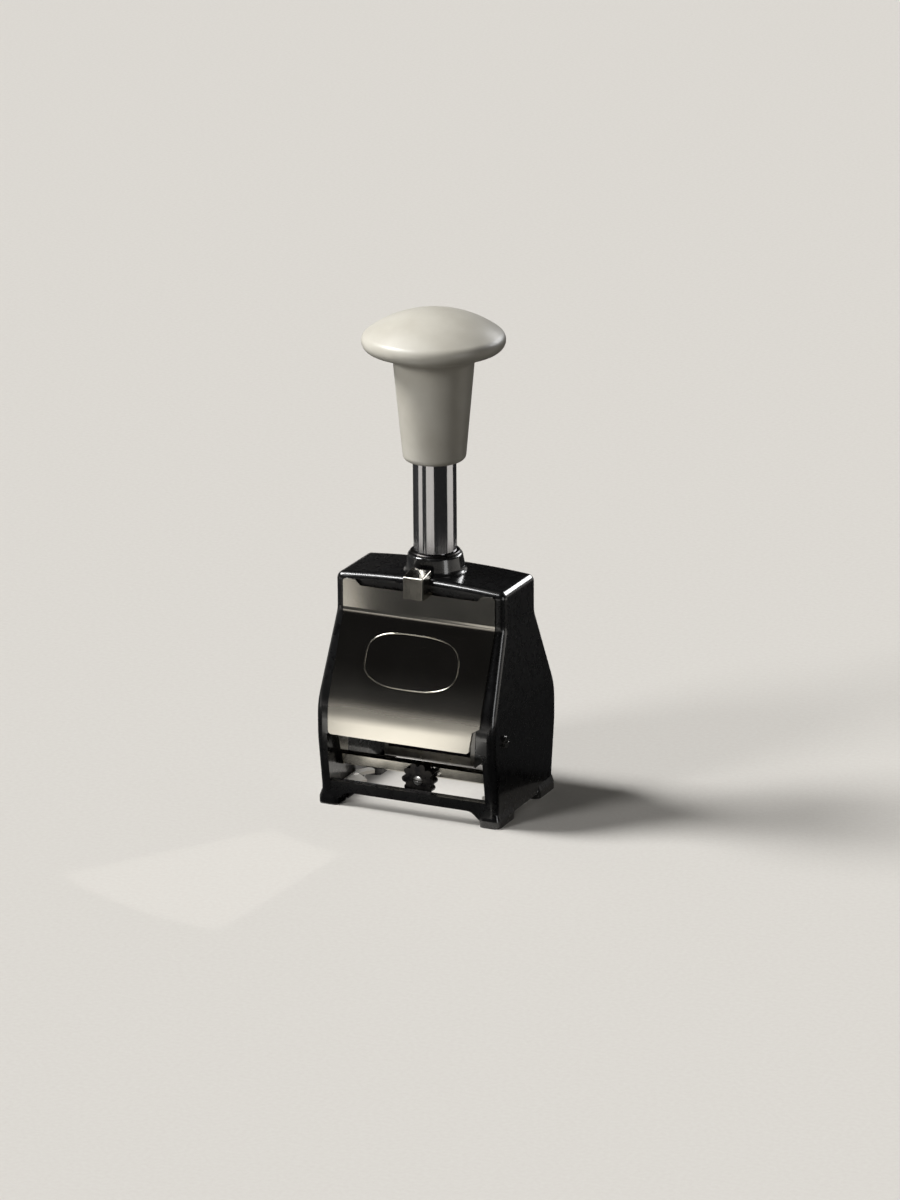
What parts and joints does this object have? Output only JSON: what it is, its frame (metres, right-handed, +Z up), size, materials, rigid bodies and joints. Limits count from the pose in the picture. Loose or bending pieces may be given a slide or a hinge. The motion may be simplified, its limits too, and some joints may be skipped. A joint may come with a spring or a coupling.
{
  "type": "numbering machine",
  "caption": "Hand-pressed numbering stamp: mushroom knob on a plunger, black cast frame with nickel plates, number wheels on a carriage and a swinging ink pad.",
  "frame": {"origin": "on the ground under the plunger's axis, midway between the four feet", "axes": "+Z up along the stem, +Y from the front plate to the back plate, +X the machine's right-hand side"},
  "size_m": [0.0658, 0.0514, 0.1657],
  "materials": {
    "enamel": "gloss black enamel over a casting",
    "nickel": "polished nickel plate",
    "stem_metal": "bright plated steel",
    "steel": "machined steel",
    "dark_steel": "blackened steel",
    "handle": "light grey, slightly shiny",
    "wheel_brass": "engraved wheels, ink-stained",
    "spring_wire": "spring wire",
    "buffer": "rubber washer",
    "felt": "inked felt"
  },
  "bodies": {
    "frame": {"frame_casting": "enamel", "front_plate": "nickel", "rear_plate": "nickel", "bridge_bar": "nickel", "side_screws": "steel", "selector_stud": "steel", "sight_plate_left": "nickel", "sight_plate_right": "nickel", "sight_screws": "steel", "stem_bush": "nickel", "guide_pin": "steel", "cam_studs": "steel", "main_spring": "spring_wire", "button_spring": "spring_wire"},
    "plunger": {"knob": "handle", "stem_tube": "stem_metal", "stem_plug": "steel", "carriage_yoke": "steel", "buffer_washer": "buffer", "wheel_axle": "steel", "axle_nuts": "steel", "detent_comb": "spring_wire", "comb_screws": "steel"},
    "pad": {"pad_tray": "steel", "pad_arm_left": "steel", "pad_arm_right": "steel", "ink_pad": "felt"},
    "feed": {"feed_arm": "steel"},
    "pawl": {"feed_pawl": "dark_steel"},
    "selector": {"selector_wheel": "dark_steel"},
    "button": {"lock_button": "dark_steel"},
    "number_wheel_1": {"number_wheel_1": "wheel_brass"},
    "number_wheel_2": {"number_wheel_2": "wheel_brass"},
    "number_wheel_3": {"number_wheel_3": "wheel_brass"},
    "number_wheel_4": {"number_wheel_4": "wheel_brass"},
    "number_wheel_5": {"number_wheel_5": "wheel_brass"},
    "number_wheel_6": {"number_wheel_6": "wheel_brass"}
  },
  "joints": [
    {"name": "plunger_slide", "type": "slide", "parent": "frame", "child": "plunger", "axis": [0, 0, -1], "range_m": [0, 0.018], "stiffness_N_per_m": 800, "springref_m": -0.02, "deforming": ["main_spring"]},
    {"name": "pad_swing", "type": "hinge", "parent": "plunger", "child": "pad", "pos_m": [0, 0, 0.027], "axis": [1, 0, 0], "range_deg": [0, 90.1]},
    {"name": "feed_swing", "type": "hinge", "parent": "plunger", "child": "feed", "pos_m": [0, 0, 0.027], "axis": [1, 0, 0], "range_deg": [0, 60.1]},
    {"name": "pawl_rock", "type": "hinge", "parent": "feed", "child": "pawl", "pos_m": [0, 0.00101, 0.03856], "axis": [1, 0, 0], "range_deg": [-12, 0], "stiffness_Nm_per_rad": 0.001, "springref_deg": 17.19},
    {"name": "selector_turn", "type": "hinge", "parent": "frame", "child": "selector", "pos_m": [0.002, -0.0175, 0.0115], "axis": [0, -1, 0], "continuous": true},
    {"name": "button_slide", "type": "slide", "parent": "frame", "child": "button", "axis": [0, 1, 0], "range_m": [0, 0.002], "stiffness_N_per_m": 300, "springref_m": -0.002, "deforming": ["button_spring"]},
    {"name": "wheel_1_spin", "type": "hinge", "parent": "plunger", "child": "number_wheel_1", "pos_m": [0, 0, 0.027], "axis": [1, 0, 0], "continuous": true},
    {"name": "wheel_2_spin", "type": "hinge", "parent": "plunger", "child": "number_wheel_2", "pos_m": [0, 0, 0.027], "axis": [1, 0, 0], "continuous": true},
    {"name": "wheel_3_spin", "type": "hinge", "parent": "plunger", "child": "number_wheel_3", "pos_m": [0, 0, 0.027], "axis": [1, 0, 0], "continuous": true},
    {"name": "wheel_4_spin", "type": "hinge", "parent": "plunger", "child": "number_wheel_4", "pos_m": [0, 0, 0.027], "axis": [1, 0, 0], "continuous": true},
    {"name": "wheel_5_spin", "type": "hinge", "parent": "plunger", "child": "number_wheel_5", "pos_m": [0, 0, 0.027], "axis": [1, 0, 0], "continuous": true},
    {"name": "wheel_6_spin", "type": "hinge", "parent": "plunger", "child": "number_wheel_6", "pos_m": [0, 0, 0.027], "axis": [1, 0, 0], "continuous": true}
  ],
  "couplings": [
    {"joint": "pad_swing", "follows": "plunger_slide", "rad_per_m": 87.266},
    {"joint": "feed_swing", "follows": "plunger_slide", "rad_per_m": 58.178}
  ]
}
